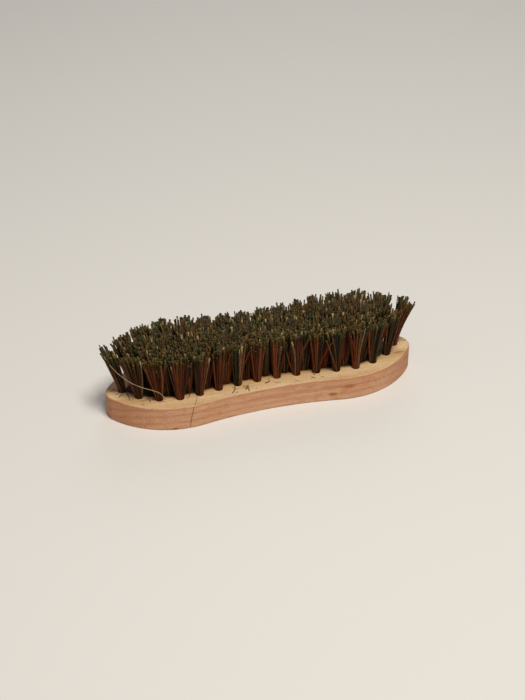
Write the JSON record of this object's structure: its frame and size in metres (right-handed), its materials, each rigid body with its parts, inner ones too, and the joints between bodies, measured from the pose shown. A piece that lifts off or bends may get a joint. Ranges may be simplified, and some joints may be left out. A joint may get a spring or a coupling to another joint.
{
  "type": "laundry scrubbing brush",
  "caption": "Flat waisted wooden block with staple-set tufts of stiff plant fibre, for scrubbing cloth by hand; rests on its back with the fibres up.",
  "frame": {"origin": "middle of the block's flat back, which is what the brush rests on", "axes": "+X along the brush, +Y across it, +Z out of the face in the direction of the fibres"},
  "size_m": [0.2134, 0.0594, 0.048],
  "materials": {
    "block_wood": "sanded bare pale hardwood, fine grain along the block",
    "plant_fibre": "stiff split plant fibre, matte, mixed red-brown and dark green",
    "staple_wire": "plain drawn wire"
  },
  "bodies": {
    "root": {"block": "block_wood", "staples": "staple_wire", "outer_tuft_01": "plant_fibre", "outer_tuft_02": "plant_fibre", "outer_tuft_03": "plant_fibre", "outer_tuft_04": "plant_fibre", "outer_tuft_05": "plant_fibre", "outer_tuft_06": "plant_fibre", "outer_tuft_07": "plant_fibre", "outer_tuft_08": "plant_fibre", "outer_tuft_09": "plant_fibre", "outer_tuft_10": "plant_fibre", "outer_tuft_11": "plant_fibre", "outer_tuft_12": "plant_fibre", "outer_tuft_13": "plant_fibre", "outer_tuft_14": "plant_fibre", "outer_tuft_15": "plant_fibre", "outer_tuft_16": "plant_fibre", "outer_tuft_17": "plant_fibre", "outer_tuft_18": "plant_fibre", "outer_tuft_19": "plant_fibre", "outer_tuft_20": "plant_fibre", "outer_tuft_21": "plant_fibre", "outer_tuft_22": "plant_fibre", "outer_tuft_23": "plant_fibre", "outer_tuft_24": "plant_fibre", "outer_tuft_25": "plant_fibre", "outer_tuft_26": "plant_fibre", "outer_tuft_27": "plant_fibre", "outer_tuft_28": "plant_fibre", "outer_tuft_29": "plant_fibre", "outer_tuft_30": "plant_fibre", "cross_row_01": "plant_fibre", "cross_row_02": "plant_fibre", "cross_row_03": "plant_fibre", "cross_row_04": "plant_fibre", "cross_row_05": "plant_fibre", "cross_row_06": "plant_fibre", "cross_row_07": "plant_fibre", "cross_row_08": "plant_fibre", "cross_row_09": "plant_fibre", "cross_row_10": "plant_fibre", "cross_row_11": "plant_fibre", "cross_row_12": "plant_fibre", "cross_row_13": "plant_fibre", "cross_row_14": "plant_fibre", "cross_row_15": "plant_fibre", "cross_row_16": "plant_fibre", "cross_row_17": "plant_fibre", "cross_row_18": "plant_fibre", "cross_row_19": "plant_fibre", "cross_row_20": "plant_fibre", "cross_row_21": "plant_fibre", "cross_row_22": "plant_fibre", "cross_row_23": "plant_fibre", "cross_row_24": "plant_fibre", "cross_row_25": "plant_fibre"}
  },
  "joints": []
}
